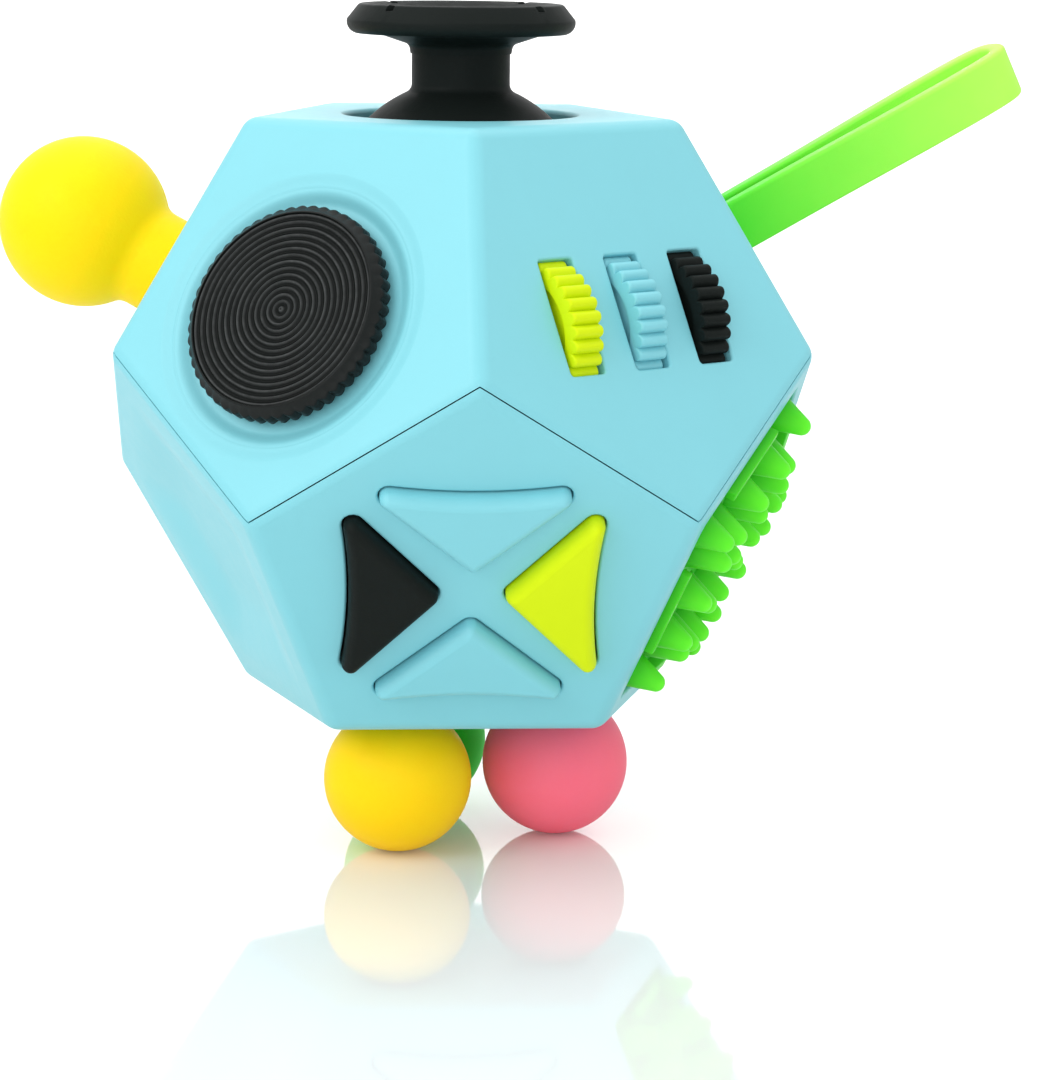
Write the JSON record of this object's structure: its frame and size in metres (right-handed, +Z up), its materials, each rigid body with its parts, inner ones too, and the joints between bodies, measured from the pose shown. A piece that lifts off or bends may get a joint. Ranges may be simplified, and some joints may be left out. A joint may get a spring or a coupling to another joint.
{
  "type": "fidget toy",
  "caption": "Twelve-faced palm-size fidget toy with joystick, dial, gear wheels, direction buttons, bristles, ball feet, soft knob and finger loop.",
  "frame": {"origin": "on the casing axis, on the table plane under the three ball feet", "axes": "+Z up along the joystick; -Y towards the direction-button face; +X to the right, towards the finger loop"},
  "size_m": [0.0811, 0.0544, 0.0636],
  "materials": {
    "casing": "satin",
    "black_plastic": "satin",
    "inner_plastic": "matte",
    "steel": "satin",
    "polished_steel": "polished",
    "lime_plastic": "satin",
    "grey_rubber": "matte",
    "green_rubber": "matte",
    "yellow_rubber": "matte",
    "pink_rubber": "matte",
    "dark_green_rubber": "matte"
  },
  "bodies": {
    "casing": {"upper_shell": "casing", "lower_shell": "casing", "joystick_socket": "inner_plastic", "joystick_spring": "steel", "joystick_screws": "steel", "gear_axle": "steel", "gear_keeper": "inner_plastic", "gear_screws": "steel", "button_membrane": "grey_rubber", "button_plate": "inner_plastic", "button_screws": "steel", "bristle_pad": "green_rubber", "squeeze_knob": "yellow_rubber", "finger_loop": "green_rubber", "loop_pin": "steel", "rocker_pin": "steel", "rocker_spring": "steel", "roller_cup": "inner_plastic", "roller_screws": "steel", "slider_keeper": "inner_plastic", "slider_screws": "steel"},
    "gimbal": {"joystick_gimbal": "inner_plastic"},
    "joystick": {"joystick_cap": "black_plastic", "joystick_stem": "black_plastic"},
    "dial": {"dial_disk": "black_plastic", "dial_washer": "steel", "dial_screw": "steel"},
    "yellow_gear": {"gear_yellow": "lime_plastic"},
    "blue_gear": {"gear_blue": "casing"},
    "black_gear": {"gear_black": "black_plastic"},
    "up_button": {"button_up": "casing"},
    "down_button": {"button_down": "casing"},
    "left_button": {"button_left": "black_plastic"},
    "right_button": {"button_right": "lime_plastic"},
    "rocker": {"rocker_switch": "black_plastic"},
    "roller": {"roller_ball": "polished_steel"},
    "slider": {"slider_button": "lime_plastic"},
    "yellow_foot": {"ball_yellow": "yellow_rubber", "ball_pin_yellow": "steel"},
    "pink_foot": {"ball_pink": "pink_rubber", "ball_pin_pink": "steel"},
    "green_foot": {"ball_green": "dark_green_rubber", "ball_pin_green": "steel"}
  },
  "joints": [
    {"name": "joystick_pitch", "type": "hinge", "parent": "casing", "child": "gimbal", "pos_m": [0, 0, 0.04815], "axis": [1, 0, 0], "range_deg": [-17, 17], "stiffness_Nm_per_rad": 0.02, "deforming": ["joystick_spring"]},
    {"name": "joystick_roll", "type": "hinge", "parent": "gimbal", "child": "joystick", "pos_m": [0, 0, 0.04815], "axis": [0, 1, 0], "range_deg": [-17, 17], "stiffness_Nm_per_rad": 0.02, "deforming": ["joystick_spring"]},
    {"name": "dial_spin", "type": "hinge", "parent": "casing", "child": "dial", "pos_m": [-0.01293, -0.01592, 0.04199], "axis": [-0.5257, -0.7236, 0.4472], "continuous": true},
    {"name": "yellow_gear_spin", "type": "hinge", "parent": "casing", "child": "yellow_gear", "pos_m": [0.00499, -0.01733, 0.04078], "axis": [0.809, 0.5878, 0], "continuous": true},
    {"name": "blue_gear_spin", "type": "hinge", "parent": "casing", "child": "blue_gear", "pos_m": [0.00996, -0.01371, 0.04078], "axis": [0.809, 0.5878, 0], "continuous": true},
    {"name": "black_gear_spin", "type": "hinge", "parent": "casing", "child": "black_gear", "pos_m": [0.01494, -0.0101, 0.04078], "axis": [0.809, 0.5878, 0], "continuous": true},
    {"name": "up_button_press", "type": "slide", "parent": "casing", "child": "up_button", "axis": [0, 0.8944, 0.4472], "range_m": [0, 0.001], "stiffness_N_per_m": 400, "springref_m": -0.0005, "deforming": ["button_membrane"]},
    {"name": "down_button_press", "type": "slide", "parent": "casing", "child": "down_button", "axis": [0, 0.8944, 0.4472], "range_m": [0, 0.001], "stiffness_N_per_m": 400, "springref_m": -0.0005, "deforming": ["button_membrane"]},
    {"name": "left_button_press", "type": "slide", "parent": "casing", "child": "left_button", "axis": [0, 0.8944, 0.4472], "range_m": [0, 0.001], "stiffness_N_per_m": 400, "springref_m": -0.0005, "deforming": ["button_membrane"]},
    {"name": "right_button_press", "type": "slide", "parent": "casing", "child": "right_button", "axis": [0, 0.8944, 0.4472], "range_m": [0, 0.001], "stiffness_N_per_m": 400, "springref_m": -0.0005, "deforming": ["button_membrane"]},
    {"name": "rocker_tilt", "type": "hinge", "parent": "casing", "child": "rocker", "pos_m": [0, 0.01695, 0.04167], "axis": [-1, 0, 0], "range_deg": [-16, 0]},
    {"name": "roller_roll", "type": "hinge", "parent": "casing", "child": "roller", "pos_m": [0.01007, 0.01386, 0.02464], "axis": [-0.809, 0.5878, 0], "continuous": true},
    {"name": "slider_slide", "type": "slide", "parent": "casing", "child": "slider", "axis": [-0.809, -0.5878, 0], "range_m": [-0.003, 0.003]},
    {"name": "yellow_foot_spin", "type": "hinge", "parent": "casing", "child": "yellow_foot", "pos_m": [-0.00474, -0.00607, 0.0056], "axis": [0, 0, 1], "continuous": true},
    {"name": "pink_foot_spin", "type": "hinge", "parent": "casing", "child": "pink_foot", "pos_m": [0.00763, -0.00107, 0.0056], "axis": [0, 0, 1], "continuous": true},
    {"name": "green_foot_spin", "type": "hinge", "parent": "casing", "child": "green_foot", "pos_m": [-0.00288, 0.00714, 0.0056], "axis": [0, 0, 1], "continuous": true}
  ]
}
